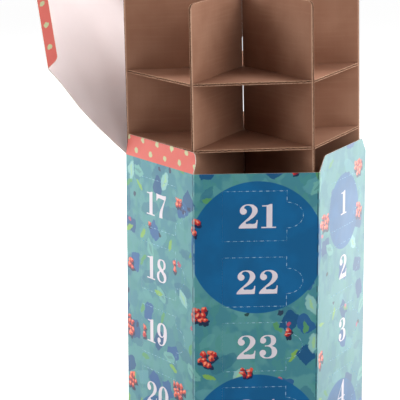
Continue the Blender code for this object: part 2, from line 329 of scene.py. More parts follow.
chosen_cells = sums(dabs, "LESS_THAN", chance.outputs[1], given["Share"])
dabs.links.new(sums(dabs, "MULTIPLY", smooth(dabs, reach, 1.15, 0.85), chosen_cells), handed["Mask"])
dabs.links.new(chance.outputs[2], handed["Tone"])
centre = vectors(dabs, "SUBTRACT", field.outputs["Position"], given["Seed"])
dabs.links.new(vectors(dabs, "MULTIPLY", centre, given["Cell"]), handed["Place"])

# Bunches of round berries: small cells are kept where the middle of a wide cell is near
bunches, given, handed = new_group(
    "berry_bunches",
    {"Vector": (0, 0, 0), "Spacing": 0.040, "Bunch": 0.0098, "Berry": 0.0052, "Size": 0.0025,
     "Share": 0.44, "Seed": 0.0},
    {"Mask": "Float", "Tone": "Float", "Gleam": "Float", "Hollow": "Float", "Place": "Vector"})
fine = vectors(bunches, "ADD", vectors(bunches, "DIVIDE", given["Vector"], given["Berry"]), given["Seed"])
berries = cells(bunches, fine, 0.55)
tone = place(bunches, "ShaderNodeSeparateColor", {0: berries.outputs["Color"]})
spot = vectors(bunches, "SUBTRACT", berries.outputs["Position"], given["Seed"])
spot = vectors(bunches, "MULTIPLY", spot, given["Berry"])
wide = vectors(bunches, "ADD", vectors(bunches, "DIVIDE", spot, given["Spacing"]), given["Seed"])
field = cells(bunches, wide, 0.8)
pick = place(bunches, "ShaderNodeSeparateColor", {0: field.outputs["Color"]})
reach = sums(bunches, "MULTIPLY", sums(bunches, "MULTIPLY_ADD", pick.outputs[1], 0.85, 0.25),
             given["Bunch"])
from_middle = sums(bunches, "MULTIPLY", field.outputs["Distance"], given["Spacing"])
bunched = sums(bunches, "MULTIPLY", sums(bunches, "LESS_THAN", from_middle, reach),
               sums(bunches, "LESS_THAN", pick.outputs[0], given["Share"]))
radius = sums(bunches, "DIVIDE", sums(bunches, "MULTIPLY", berries.outputs["Distance"], given["Berry"]),
              given["Size"])
bunches.links.new(sums(bunches, "MULTIPLY", smooth(bunches, radius, 1.1, 0.9), bunched), handed["Mask"])
bunches.links.new(tone.outputs[0], handed["Tone"])
bunches.links.new(vectors(bunches, "MULTIPLY", spot, (1.0, 1.0, 0.0)), handed["Place"])
within = vectors(bunches, "MULTIPLY", vectors(bunches, "SUBTRACT", fine, berries.outputs["Position"]),
                 given["Berry"])
within = vectors(bunches, "MULTIPLY", within, (1.0, 1.0, 0.0))
# On each berry, where its gleam and its dark hollow have their middles, and how they fade away from them
for lit, label, ends in (((-0.0006, 0.0008, 0), "Gleam", (0.0017, 0.0004)),
                         ((0.0012, -0.0015, 0), "Hollow", (0.0022, 0.0008))):
    apart = place(bunches, "ShaderNodeVectorMath", {0: within, 1: lit}, operation="DISTANCE")
    bunches.links.new(smooth(bunches, apart.outputs["Value"], *ends), handed[label])

# The plain field about each number, in the middle of its door, measured on the blank
FIELD_WIDE = 0.0250
FIELD_HIGH = 0.0165
fields, given, handed = new_group("number_fields", {"Vector": (0, 0, 0)}, {"Mask": "Float"})
split = place(fields, "ShaderNodeSeparateXYZ", {0: given["Vector"]})
shares = []
for index, pitch, middle, half in ((0, SIDE, 0.0, FIELD_WIDE),
                                   (1, DOOR_PITCH, TOP_DOOR + DOOR_HEIGHT / 2, FIELD_HIGH)):
    start = middle - pitch / 2
    turns = sums(fields, "DIVIDE", sums(fields, "SUBTRACT", split.outputs[index], start), pitch)
    apart = sums(fields, "ABSOLUTE", off_middle(fields, turns, pitch))
    shares.append(sums(fields, "DIVIDE", apart, half))
fields.links.new(sums(fields, "LESS_THAN", sums(fields, "MAXIMUM", *shares), 1.0), handed["Mask"])

# A plain disc with a soft rim
discs, given, handed = new_group("plain_disc", {"Vector": (0, 0, 0), "Along": 0.0, "Up": 0.0, "Size": 0.06},
                                 {"Mask": "Float"})
middle = place(discs, "ShaderNodeCombineXYZ", {0: given["Along"], 1: given["Up"]})
apart = place(discs, "ShaderNodeVectorMath", {0: given["Vector"], 1: middle.outputs[0]},
              operation="DISTANCE")
ring = sums(discs, "SUBTRACT", apart.outputs["Value"], given["Size"])
discs.links.new(smooth(discs, ring, 0.0005, -0.0005), handed["Mask"])

# Coated board: a faint tooth, soft clouds in the whiteness, and a slight unevenness over centimetres
tooth, given, handed = new_group("board_tooth", {"Vector": (0, 0, 0), "Cloud": 18.0},
                                 {"Cloud": "Float", "Height": "Float"})
cloud = noise(tooth, given["Vector"], given["Cloud"], 3.0).outputs["Fac"]
grain = noise(tooth, given["Vector"], 2600.0).outputs["Fac"]
tooth.links.new(cloud, handed["Cloud"])
tooth.links.new(sums(tooth, "MULTIPLY_ADD", grain, 0.012, cloud), handed["Height"])


def new_finish(name, roughness, specular, sheen=0.0, sheen_roughness=0.5):
    """A material with its shader, and the values that are the same all over it."""
    finish = bpy.data.materials.new(name)
    finish.use_nodes = True
    tree = finish.node_tree
    tree.nodes.clear()
    shader = place(tree, "ShaderNodeBsdfPrincipled",
                   {"Roughness": roughness, "Specular IOR Level": specular, "Sheen Weight": sheen,
                    "Sheen Roughness": sheen_roughness})
    place(tree, "ShaderNodeOutputMaterial", {"Surface": shader.outputs[0]})
    return finish, tree, shader


def group_node(tree, group, **inputs):
    """Places one of the groups with its own values, and gives what it hands out."""
    return place(tree, "ShaderNodeGroup", inputs, node_tree=group).outputs


def dressed(tree, shader, colour, height, distance):
    """Gives a surface its colour, and raises it by a height map."""
    tree.links.new(colour, shader.inputs["Base Color"])
    bump = place(tree, "ShaderNodeBump", {"Height": height, "Distance": distance, "Strength": 1.0})
    tree.links.new(bump.outputs[0], shader.inputs["Normal"])


def fibrous(name, one, other, scale, ends, roughness, specular):
    """A matt finish of short fibres in two shades."""
    finish, tree, shader = new_finish(name, roughness, specular)
    spot = place(tree, "ShaderNodeTexCoord").outputs["Object"]
    fibres = noise(tree, spot, scale).outputs["Fac"]
    dressed(tree, shader, over(tree, one, other, smooth(tree, fibres, *ends)), fibres, 0.0001)
    return finish


# The print: teal ground, plain discs, petals, leaves, dabs and berries, each layer over the last
printed, tree, shader = new_finish("floral_print", 0.36, 0.1, 0.92, 0.42)
paint = place(tree, "ShaderNodeUVMap", uv_map="print").outputs[0]
brushed = wavered(tree, paint, noise(tree, paint, 150.0, 3.0, "2D"), 0.0055)
washes = noise(tree, brushed, 34.0, 2.0, "2D")
washes.inputs["Roughness"].default_value = 0.6
streaky = noise(tree, vectors(tree, "MULTIPLY", brushed, (1.0, 0.45, 1.0)), 120.0, 2.0, "2D")
colour = over(tree, ink(66, 132, 144), ink(84, 148, 150), smooth(tree, washes.outputs["Fac"], 0.44, 0.56))
colour = over(tree, colour, ink(74, 146, 132), smooth(tree, streaky.outputs["Fac"], 0.54, 0.62, 0.0, 0.4))
# Each row: cell, length, width, shape, share, seed, how strongly it covers, whether it keeps off the
# numbers, and its two colours
MARKS = (
    (0.034, 0.0150, 0.0064, 2.4, 0.40, 3.7, 0.42, 0, ink(104, 168, 176), ink(18, 88, 126)),
    (0.028, 0.0098, 0.0044, 1.8, 0.36, 11.4, 0.46, 0, ink(30, 98, 128), ink(96, 162, 158)),
    (0.037, 0.0092, 0.0070, 5.0, 0.56, 15.9, 0.88, 0, ink(4, 74, 126), ink(30, 86, 146)),
    (0.036, 0.0100, 0.0052, 1.5, 0.48, 8.2, 0.85, 1, ink(146, 196, 190), ink(112, 174, 164)),
    (0.036, 0.0062, 0.0015, 1.5, 0.48, 8.2, 0.60, 1, ink(166, 206, 120), ink(70, 128, 128)),
    (0.024, 0.0068, 0.0024, 1.5, 0.36, 21.3, 0.85, 1, ink(134, 180, 66), ink(88, 154, 88)),
    (0.032, 0.0032, 0.0022, 1.3, 0.30, 30.1, 0.85, 1, ink(20, 44, 48), ink(34, 36, 74)),
    (0.027, 0.0026, 0.0022, 2.0, 0.22, 41.7, 0.85, 1, ink(186, 70, 98), ink(204, 96, 108)),
)
for cell, length, width, shape, share, seed, cover, keeps_off, one, other in MARKS:
    mark = group_node(tree, dabs, Vector=brushed, Cell=cell, Length=length, Width=width, Shape=shape,
                      Share=share, Seed=seed)
    if keeps_off:
        field = group_node(tree, fields, Vector=mark["Place"])
        cover = sums(tree, "SUBTRACT", cover, field["Mask"], clamp=True)
    shade = over(tree, one, other, sums(tree, "GREATER_THAN", mark["Tone"], 0.5))
    colour = over(tree, colour, shade, sums(tree, "MULTIPLY", mark["Mask"], cover))
# Plain discs, two deep ones on the front, lie over the marks. Each row: along the blank, up it, radius
DISCS = ((0.001, 0.1928, 0.0620), (0.0, 0.010, 0.0620), (0.117, 0.214, 0.036), (0.112, 0.004, 0.046),
         (0.229, 0.135, 0.05), (-0.118, -0.004, 0.04), (-0.232, 0.165, 0.0575), (-0.341, 0.21, 0.043),
         (-0.350, 0.075, 0.0575))
OVER_RIM = 0.004
blue = over(tree, ink(0, 90, 140), ink(0, 98, 152), smooth(tree, washes.outputs["Fac"], 0.35, 0.7))
for along, up, size in DISCS:
    disc = group_node(tree, discs, Vector=paint, Along=along, Up=up, Size=size)
    colour = over(tree, colour, blue, disc["Mask"])
# Two layers of berries, the shadow first: how far it is moved, the size of a berry, how strongly it
# covers. They keep off the numbers, and reach only a little over the rims of the discs
lower = vectors(tree, "ADD", brushed, (-0.0009, 0.0024, 0.0))
for moved, size, cover in ((lower, 0.0033, 0.92), (brushed, 0.0026, 1.0)):
    bunch = group_node(tree, bunches, Vector=moved, Size=size, Seed=2.4)
    clear = group_node(tree, fields, Vector=bunch["Place"])["Mask"]
    for along, up, reach in DISCS:
        inner = group_node(tree, discs, Vector=bunch["Place"], Along=along, Up=up, Size=reach - OVER_RIM)
        clear = sums(tree, "MAXIMUM", clear, sums(tree, "GREATER_THAN", inner["Mask"], 0.5))
    red = over(tree, ink(206, 46, 42), ink(238, 92, 66), smooth(tree, bunch["Tone"], 0.3, 0.75))
    red = over(tree, red, ink(104, 14, 40), sums(tree, "MULTIPLY", bunch["Hollow"], 0.75))
    red = over(tree, red, ink(250, 168, 130), sums(tree, "MULTIPLY", bunch["Gleam"], 0.85))
    shown = sums(tree, "MULTIPLY", bunch["Mask"], sums(tree, "SUBTRACT", cover, clear, clamp=True))
    colour = over(tree, colour, ink(22, 26, 66) if moved is lower else red, shown)
# Along each fold the ink is cracked to a pale line, which is also a painted highlight on the fold, beside a
# darker line of painted shade in the pressed crease.
# Each row: its middle, half its width, the noise levels between which it grows strong, and its colour
FOLD_LINES = ((-0.0012, 0.0006, 0.38, 0.55, ink(14, 48, 74)),
              (0.0003, 0.0007, 0.36, 0.60, ink(160, 200, 208)))
split = place(tree, "ShaderNodeSeparateXYZ", {0: paint})
across = off_middle(tree, sums(tree, "DIVIDE", split.outputs[0], SIDE), SIDE)
fold_line_noise = noise(tree, paint, 90.0, 4.0, "2D").outputs["Fac"]
for middle, half, low, high, line in FOLD_LINES:
    away = sums(tree, "ABSOLUTE", sums(tree, "SUBTRACT", across, middle))
    share = sums(tree, "MULTIPLY", smooth(tree, away, half * 1.6, half * 0.4),
                 smooth(tree, fold_line_noise, low, high, 0.15, 0.75))
    colour = over(tree, colour, line, share)
board = group_node(tree, tooth, Vector=paint)
tree.links.new(smooth(tree, board["Cloud"], 0.3, 0.7, 0.32, 0.40), shader.inputs["Roughness"])
dressed(tree, shader, colour, board["Height"], 0.0004)

# The plain inside of the board, and its cut edge
lining, tree, shader = new_finish("white_lining", 0.9, 0.1)
spot = place(tree, "ShaderNodeTexCoord").outputs["Object"]
board = group_node(tree, tooth, Vector=spot, Cloud=25.0)
white = over(tree, ink(240, 227, 227), ink(230, 216, 215), board["Cloud"])
dressed(tree, shader, white, board["Height"], 0.0003)
cut_edge = fibrous("cut_board_edge", ink(236, 224, 212), ink(206, 190, 178), 1800.0, (0.4, 0.65), 0.85, 0.2)

bpy.ops.mesh.primitive_cylinder_add(vertices=6, radius=SIDE, depth=HEIGHT, end_fill_type="NOTHING",
                                    location=(0, 0, HEIGHT / 2), rotation=(0, 0, math.pi / 6))
walls = settled(bpy.context.object)
walls.name = "carton_walls"
shaped(walls, "BEVEL", width=FOLD_RADIUS, segments=4, limit_method="ANGLE")
for finish in (printed, lining, cut_edge):
    walls.data.materials.append(finish)
shaped(walls, "SOLIDIFY", thickness=BOARD, offset=-1, use_even_offset=True, material_offset=1,
       material_offset_rim=2)
for side in SIDES:
    for row in range(DOOR_ROWS):
        window = door_blank(DOOR_CUT, -CUT_PAST, BOARD + CUT_PAST)
        settled(window, side_matrix(side, TOP_DOOR - row * DOOR_PITCH))
        window.data.materials.append(cut_edge)
        shaped(walls, "BOOLEAN", object=window, operation="DIFFERENCE", solver="FAST")
        discarded(window)
layer = walls.data.uv_layers.new(name="print")
for face in walls.data.polygons:
    sector = round((math.degrees(math.atan2(face.center.y, face.center.x)) + 90) / 60) % 6
    index = sector if sector < 3 else sector - 6
    turn = Matrix.Rotation(-index * math.pi / 3, 3, "Z")
    for corner in face.loop_indices:
        spot = turn @ walls.data.vertices[walls.data.loops[corner].vertex_index].co
        layer.data[corner].uv = (index * SIDE + spot.x, spot.z)
chosen(walls)
bpy.ops.object.shade_smooth_by_angle(angle=SMOOTH_BELOW)
shaped(walls, "WEIGHTED_NORMAL", keep_sharp=True, weight=80)
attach(walls, "carton")
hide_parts(*("wall_" + side for side in SIDES))


# ---- Doors ----
# Each door is perforated out of its panel and stays joined at its left edge, on an uncut crease.
# The cut is a row of slits, whose torn white fibres show as short pale dashes round the thumb tab.
CREASE_END = 0.001
THUMB_STEPS = 33
# A face whose normal has this much of the board's own direction is a face of the board, not its edge
FACING = 0.9
# A slit's length and the way from one to the next, and how it lies in the outer face
SLIT = 0.0030
SLIT_STEP = 0.0062
SLIT_WIDTH = 0.0006
SLIT_DEPTH = 0.0003
SLIT_SINK = 0.00012
SLIT_ROUND = 0.00008


def perforation():
    """The points and directions of the slits, from the hinge along the top, round the tab, and back."""
    right = HINGE_X + DOOR_WIDTH
    left = HINGE_X + CREASE_END
    line = [(left, DOOR_HEIGHT), (right, DOOR_HEIGHT), (right, THUMB_UP + THUMB_HALF)]
    for step in range(1, THUMB_STEPS):
        turn = math.pi / 2 - math.pi * step / THUMB_STEPS
        line.append((right + THUMB_REACH * math.cos(turn), THUMB_UP + THUMB_HALF * math.sin(turn)))
    line += [(right, THUMB_UP - THUMB_HALF), (right, 0), (left, 0)]
    spots = []
    waiting = SLIT_STEP / 2
    for start, end in zip(line, line[1:]):
        run = Vector(end) - Vector(start)
        while waiting <= run.length:
            spot = Vector(start) + run.normalized() * waiting
            spots.append((spot, math.atan2(run.y, run.x)))
            waiting += SLIT_STEP
        waiting -= run.length
    return spots


def copied(piece, name):
    """A copy with its own mesh."""
    made = piece.copy()
    made.data = piece.data.copy()
    made.name = name
    bpy.context.collection.objects.link(made)
    return made


def joined(pieces, name):
    """Several pieces as one."""
    bpy.ops.object.select_all(action="DESELECT")
    for piece in pieces:
        piece.select_set(True)
    bpy.context.view_layer.objects.active = pieces[0]
    bpy.ops.object.join()
    pieces[0].name = name
    return pieces[0]


def mapped(piece, along=0.0, up=0.0, name="print"):
    """Lays a pattern on an upright board in metres: along the blank, and up it."""
    layer = piece.data.uv_layers.new(name=name)
    for loop in piece.data.loops:
        spot = piece.data.vertices[loop.vertex_index].co
        layer.data[loop.index].uv = (along + spot.x, up + spot.z)
    return piece


slits = []
for spot, turn in perforation():
    bpy.ops.mesh.primitive_cube_add(size=1, location=(spot.x, SLIT_SINK, spot.y), rotation=(0, -turn, 0),
                                    scale=(SLIT, SLIT_DEPTH, SLIT_WIDTH))
    slits.append(settled(bpy.context.object))
slits = joined(slits, "slits")
shaped(slits, "BEVEL", width=SLIT_ROUND, segments=1)
torn, tree, shader = new_finish("torn_slit_fibres", 0.8, 0.2)
spot = place(tree, "ShaderNodeTexCoord").outputs["Object"]
fibres = smooth(tree, noise(tree, spot, 420.0).outputs["Fac"], 0.38, 0.56)
tree.links.new(over(tree, ink(70, 140, 174), ink(166, 202, 220), fibres), shader.inputs["Base Color"])
slits.data.materials.append(torn)

door = door_blank(0.0, 0.0, BOARD)
door.name = "door"
for finish in (printed, lining, cut_edge):
    door.data.materials.append(finish)
for face in door.data.polygons:
    face.material_index = 0 if face.normal.y < -FACING else 1 if face.normal.y > FACING else 2
for order, side in enumerate(SIDES):
    for row in range(DOOR_ROWS):
        number = f"{order * DOOR_ROWS + row + 1:02d}"
        low = TOP_DOOR - row * DOOR_PITCH
        piece = mapped(copied(door, "door_board_" + number), SIDES[side] * SIDE, low)
        settled(piece, side_matrix(side, low))
        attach(piece, "door_" + number)
        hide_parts("door_" + number)
        piece = settled(copied(slits, "door_slits_" + number), side_matrix(side, low))
        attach(piece, "door_" + number)
discarded(door, slits)


# ---- Numbers ----
# Plain numbers 1 to 24, left unprinted in the ink so that the white board shows, in heavy upright
# figures with hairlines and ball ends. Each outline is drawn in hundredths of a figure's height.
FIGURE_HEIGHT = 0.0224
FIGURE_GAP = 0.15
# Half a figure's thickness, and how far its middle stands out of the door
FIGURE_RELIEF = 0.00005
FIGURE_OUT = 0.00003
# Each figure's width, then its outlines as rows of points, x before y. A point with a mark after it is
# a corner, and the others are smooth.
FIGURES = {
    "0": (76, "38,100 66,86 76,50 66,14 38,0 10,14 0,50 10,86",
          "38,95.5 49,84 52,50 49,16 38,4.5 27,16 24,50 27,84"),
    "1": (60, "0,0! 60,0! 60,5! 44.5,5! 44.5,100! 38,100! 22,95.5 3,94.5! 3,90! 21,90! 21,5! 0,5!"),
    "2": (77, "0,0! 74,0! 77,34! 72.5,34! 70,23.5 62,18.5 45,19 28,22 42,33 66,52 76.5,73 66,93 39,100 "
              "13,91 4,72 10,60.5 19,57.5 29,62 32.5,71 28,80 20,84! 26,93 37,95.5 50,89 54.5,74 48,55 "
              "30,36 8,16 0,5!"),
    "3": (74, "4,76 12,93 36,100 62,94 70,76 63,60 52,53! 68,45 74.5,27 64,7 36,0 10,7 2,25 7,34 15,37 "
              "25,33 28.5,24 24,15 17,12! 25,6 36,4.5 49,12 52.5,27 48,45 36,51.5 24,51.5! 24,56! "
              "36,56.5 46,63 49,76 45,91 35,95.5 24,93 17,87.5! 25,86 29,77 25,68 16,64.5 7,68"),
    "4": (78, "30,0! 78,0! 78,5! 66.5,5! 66.5,24! 78,24! 78,29! 66.5,29! 66.5,100! 60,100! 0,29! 0,24! "
              "43,24! 43,5! 30,5!", "43,29! 43,76! 5.5,29!"),
    "5": (72, "10,100! 26,97 46,97 64,100! 63,90 53,81 36,79 20,83 14.5,85! 14.5,57! 25,63 40,65.5 "
              "64,56 72.5,33 62,8 35,0 11,7 2,24 6,33 14.5,36.5 24,33 28,23.5 24,15 17.5,12! 25,6 "
              "35,4.5 46,11 50,33 46,53 36,60 23,57 14.5,49! 10,49!"),
    "6": (74, "44,100 14,83 0,42 10,10 37,0 65,10 74,32 66,54 43,63 30,60 23.5,53! 26,76 33,91 45,95.5 "
              "54,93.5 60,89! 52,87 47.5,78.5 52,70 60.5,67 69,71 71.5,80 64,94",
          "37,4.5 26.5,12 23.5,31 27,50 38,58.5 47.5,52 50.5,32 47.5,12"),
    "7": (72, "0,70! 4.5,70! 9,78 20,82.5 38,82 54,80.5 61,80! 42,52 25,24 21,0! 45,0! 45,22 54,52 "
              "72,90! 72,100! 55,98 30,98 10,99 4.5,100! 0,100!"),
    "8": (72, "36,100 59,95 67,77 61,63 50,54 66,43 72,25 61,6 36,0 11,6 0,25 6,40 20,50 9,60 5,76 13,94",
          "37,95.5 26,91 23.5,81 30,69 43,60 50,68 51.5,79 48,91",
          "36,4.5 22,10 16.5,25 20,38 28,46 42,37 53.5,24 51,10"),
    "9": (74, "30,0 60,17 74,58 64,90 37,100 9,90 0,68 8,46 31,37 44,40 50.5,47! 48,24 41,9 29,4.5 "
              "20,6.5 14,11! 22,13 26.5,21.5 22,30 13.5,33 5,29 2.5,20 10,6",
          "37,95.5 47.5,88 50.5,69 47,50 36,41.5 26.5,48 23.5,68 26.5,88"),
}


def figure(digit):
    """One figure as a thin flat mesh, its lower left corner at the origin, standing in the XZ plane."""
    width, *outlines = FIGURES[digit]
    drawn = bpy.data.curves.new("figure_" + digit, "CURVE")
    drawn.dimensions = "2D"
    drawn.fill_mode = "BOTH"
    drawn.resolution_u = 6
    drawn.extrude = FIGURE_RELIEF
    for outline in outlines:
        points = outline.split()
        spline = drawn.splines.new("BEZIER")
        spline.bezier_points.add(len(points) - 1)
        spline.use_cyclic_u = True
        for knot, point in zip(spline.bezier_points, points):
            x, y = point.rstrip("!").split(",")
            knot.co = (float(x) / 100 * FIGURE_HEIGHT, float(y) / 100 * FIGURE_HEIGHT, 0)
            knot.handle_left_type = knot.handle_right_type = "VECTOR" if point.endswith("!") else "AUTO"
    made = bpy.data.objects.new("figure_" + digit, drawn)
    bpy.context.collection.objects.link(made)
    chosen(made)
    bpy.ops.object.convert(target="MESH")
    made = bpy.context.object
    made.rotation_euler = (math.pi / 2, 0, 0)
    return settled(made), width / 100 * FIGURE_HEIGHT


number_ink, tree, shader = new_finish("unprinted_number", 0.36, 0.1, 0.7, 0.65)
spot = place(tree, "ShaderNodeTexCoord").outputs["Object"]
board = group_node(tree, tooth, Vector=spot, Cloud=60.0)
tree.links.new(over(tree, ink(224, 214, 221), ink(214, 204, 212), board["Cloud"]),
               shader.inputs["Base Color"])

figures = {digit: figure(digit) for digit in FIGURES}
# How far the numbers of a side stand off its middle
NUMBER_MIDDLES = {"front": 0.0010, "front_right": 0.0017, "front_left": -0.0043}
for order, side in enumerate(SIDES):
    for row in range(DOOR_ROWS):
        value = order * DOOR_ROWS + row + 1
        pieces = []
        wide = 0.0
        for digit in str(value):
            shape, width = figures[digit]
            piece = copied(shape, "number")
            piece.location.x = wide
            wide += width + FIGURE_GAP * FIGURE_HEIGHT
            pieces.append(piece)
        wide -= FIGURE_GAP * FIGURE_HEIGHT
        number = joined(pieces, f"number_{value:02d}")
        settled(number)
        low = TOP_DOOR - row * DOOR_PITCH + (DOOR_HEIGHT - FIGURE_HEIGHT) / 2
        centred = Matrix.Translation((NUMBER_MIDDLES.get(side, 0.0) - wide / 2, -FIGURE_OUT, 0))
        settled(number, side_matrix(side, low) @ centred)
        number.data.materials.clear()
        number.data.materials.append(number_ink)
        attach(number, f"door_{value:02d}")
discarded(*(shape for shape, width in figures.values()))


# ---- Rim tabs ----
# Three tabs stand on the rim. The two beside the lid are coral with pale dots and bulge at one end;
# the one opposite the lid carries the floral print on from its panel.
TAB_LEAN = math.radians(2)
TAB_HEIGHT = 0.0205
TAB_BULGE = 0.0062
PLAIN_TAB_HEIGHT = 0.0135
PLAIN_TAB_TAPER = 0.011
# The play that a fold needs at its ends, and how near two points count as one
CREASE_PLAY = 0.0003
TOUCHING = 0.00002
crease_half = SIDE / 2 - (BOARD * math.tan(math.pi / 6) + CREASE_PLAY / math.cos(math.pi / 6))


def flat_board(corners, radii, name):
    """A flat outline standing in the XZ plane, facing -Y, with some corners rounded."""
    bpy.ops.mesh.primitive_circle_add(vertices=len(corners), radius=0.01, fill_type="NGON",
                                      rotation=(math.pi / 2, 0, 0))
    piece = settled(bpy.context.object)
    piece.name = name
    order = piece.data.polygons[0].vertices
    for vertex, (x, z) in zip(order, corners):
        piece.data.vertices[vertex].co = (x, 0, z)
    middles = [(Vector((x, 0, z)), radius) for (x, z), radius in zip(corners, radii) if radius]
    for middle, radius in middles:
        chosen(piece)
        bpy.ops.object.mode_set(mode="EDIT")
        bpy.ops.mesh.select_mode(type="VERT")
        bpy.ops.mesh.select_all(action="DESELECT")
        bpy.ops.object.mode_set(mode="OBJECT")
        for vertex in piece.data.vertices:
            vertex.select = (vertex.co - middle).length < TOUCHING
        bpy.ops.object.mode_set(mode="EDIT")
        bpy.ops.mesh.bevel(offset=radius, segments=8, affect="VERTICES")
        bpy.ops.object.mode_set(mode="OBJECT")
    return piece


def faced(piece, outside):
    """Gives a board its thickness and its three finishes: outside, inside and cut edge."""
    piece.data.materials.clear()
    for finish in (outside, lining, cut_edge):
        piece.data.materials.append(finish)
    return shaped(piece, "SOLIDIFY", thickness=BOARD, offset=-1, material_offset=1, material_offset_rim=2)


# Rows of round dots, every other row moved on by half. They are counted from far below, so that no
# count is negative
DOT_PITCH = 0.0245
DOT_ROW = 0.0112
DOT_RADIUS = 0.0028
dots, given, handed = new_group("dot_rows", {"Vector": (0, 0, 0)}, {"Mask": "Float"})
split = place(dots, "ShaderNodeSeparateXYZ", {0: given["Vector"]})
rows = sums(dots, "DIVIDE", split.outputs[1], DOT_ROW)
count = sums(dots, "ADD", sums(dots, "FLOOR", rows), 100.0)
moved_on = sums(dots, "MULTIPLY", sums(dots, "MODULO", count, 2.0), 0.5)
columns = sums(dots, "ADD", sums(dots, "DIVIDE", split.outputs[0], DOT_PITCH), moved_on)
squares = [sums(dots, "POWER", off_middle(dots, turns, pitch), 2.0)
           for turns, pitch in ((columns, DOT_PITCH), (rows, DOT_ROW))]
away = sums(dots, "SQRT", sums(dots, "ADD", *squares))
dots.links.new(smooth(dots, sums(dots, "SUBTRACT", away, DOT_RADIUS), 0.0003, -0.0003), handed["Mask"])

coral, tree, shader = new_finish("coral_dots", 0.36, 0.1, 0.46, 0.65)
paint = place(tree, "ShaderNodeUVMap", uv_map="print").outputs[0]
spotted = group_node(tree, dots, Vector=wavered(tree, paint, noise(tree, paint, 260.0), 0.0032))
board = group_node(tree, tooth, Vector=paint, Cloud=45.0)
ground = over(tree, ink(206, 62, 42), ink(214, 78, 56), board["Cloud"])
dressed(tree, shader, over(tree, ground, ink(184, 190, 136), spotted["Mask"]), board["Height"], 0.0003)

bulged = [(-crease_half, 0.0), (crease_half, 0.0), (crease_half + TAB_BULGE, 0.0120),
          (crease_half + 0.0040, TAB_HEIGHT), (TAB_BULGE - crease_half, TAB_HEIGHT)]
mirrored = [(-x, z) for x, z in reversed(bulged)]
plain = [(-crease_half, 0.0), (crease_half, 0.0), (crease_half - PLAIN_TAB_TAPER, PLAIN_TAB_HEIGHT),
         (PLAIN_TAB_TAPER - crease_half, PLAIN_TAB_HEIGHT)]
# Each row: its side, its outline and how its corners are rounded, its finish, and where its pattern
# starts along the side and up it
TABS = (
    ("front_left", bulged, (0, 0, 0.005, 0.003, 0.0012), coral, "dotted_board", -TAB_BULGE, -0.0014),
    ("back", mirrored, (0.0012, 0.003, 0.005, 0, 0), coral, "dotted_board", -TAB_BULGE, -0.0014),
    ("front_right", plain, (0, 0, 0.002, 0.002), printed, "printed_board", 0.0, HEIGHT),
)
for side, corners, radii, finish, slot, along, up in TABS:
    tab = faced(flat_board(corners, radii, "tab_" + side), finish)
    mapped(tab, SIDES[side] * SIDE + along, up)
    settled(tab, side_matrix(side, HEIGHT) @ Matrix.Rotation(TAB_LEAN, 4, "X"))
    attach(tab, "rim_tab_" + side)
    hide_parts("rim_tab_" + side)


# ---- Bottom and seam ----
# The bottom panel, its glued flaps and the seam flap are folded from the same white board. They keep
# their solids, and take the finish of its plain side.
for node in frame["record"]["behaviour"]["bodies"]["carton"]:
    if not node.startswith("wall_"):
        for slot in frame["nodes"][node].material_slots:
            slot.material = lining


# ---- Tray ----
# Brown corrugated board: two liners on a fluted medium, 2.5 mm thick with a flute every 6.5 mm. Six
# dividers and four plates slot into each other, and the flutes show at the cut edges.
SHEET = 0.0025
LINER = 0.0006
MEDIUM = 0.0004
FLUTE = 0.0065
WAVE_STEPS = 10
LINER_ROUND = 0.00025
# The outermost strip of a divider's liners, and how far it is pressed in at their outer faces
EDGE_BAND = 0.0004
CRUSHED = 0.0011
# Heights are from the carton's rim, and the rest from the tray's own axis
TRAY_TOP = 0.1544
TRAY_HEIGHT = 0.2588
TRAY_RADIUS = 0.1108
CORNER_RADIUS = 0.006
INNER_EDGE = 0.0031
NIB_EDGE = 0.00247
NIB_HEIGHT = 0.044
SHELF_TOPS = (0.0830, 0.0222, -0.0386, -0.0994)
SLOT_END = 0.0576
SLOT_PLAY = 0.0003
TOOL_PAST = 0.01
TRAY_ASIDE = 0.0022
TRAY_TILT = math.radians(1.02)
tray_place = Matrix.Translation((-TRAY_ASIDE, 0, HEIGHT)) @ Matrix.Rotation(-TRAY_TILT, 4, "Y")

kraft, tree, shader = new_finish("kraft_liner", 0.8, 0.1)
lay = place(tree, "ShaderNodeUVMap", uv_map="flutes").outputs[0]
spot = place(tree, "ShaderNodeTexCoord").outputs["Object"]
clouds = noise(tree, spot, 16.0, 3.0).outputs["Fac"]
streaks = noise(tree, vectors(tree, "MULTIPLY", lay, (14.0, 330.0, 1.0)), 1.0, 3.0).outputs["Fac"]
specks = noise(tree, spot, 900.0).outputs["Fac"]
split = place(tree, "ShaderNodeSeparateXYZ", {0: lay})
ridges = sums(tree, "SINE", sums(tree, "MULTIPLY", split.outputs[0], math.tau / FLUTE))
tan = over(tree, ink(168, 126, 103), ink(152, 109, 87), smooth(tree, clouds, 0.35, 0.65))
tan = over(tree, tan, ink(182, 140, 114), smooth(tree, streaks, 0.45, 0.75, 0.0, 0.2))
tan = over(tree, tan, ink(126, 84, 60), smooth(tree, specks, 0.62, 0.75, 0.0, 0.22))
tan = over(tree, tan, ink(142, 96, 70), smooth(tree, ridges, 0.2, 1.0, 0.0, 0.03))
# The board is crushed along its cut edges, where its liner is scuffed paler; the pale strip there is also a
# painted highlight of light caught on the crushed edge
scuffed_and_lit_edge = smooth(tree, split.outputs[0], TRAY_RADIUS - 0.0022, TRAY_RADIUS - 0.0009, 0.0, 0.35)
tan = over(tree, tan, ink(236, 200, 176), scuffed_and_lit_edge)
rise = sums(tree, "MULTIPLY_ADD", ridges, 0.15, sums(tree, "MULTIPLY_ADD", streaks, 0.4, specks))
dressed(tree, shader, tan, rise, 0.00007)

torn_kraft = fibrous("kraft_cut_edge", ink(206, 164, 138), ink(168, 126, 100), 700.0, (0.4, 0.65), 0.9, 0.1)
fluted = fibrous("fluted_medium", ink(174, 130, 104), ink(148, 106, 82), 1200.0, (0.4, 0.62), 0.92, 0.1)
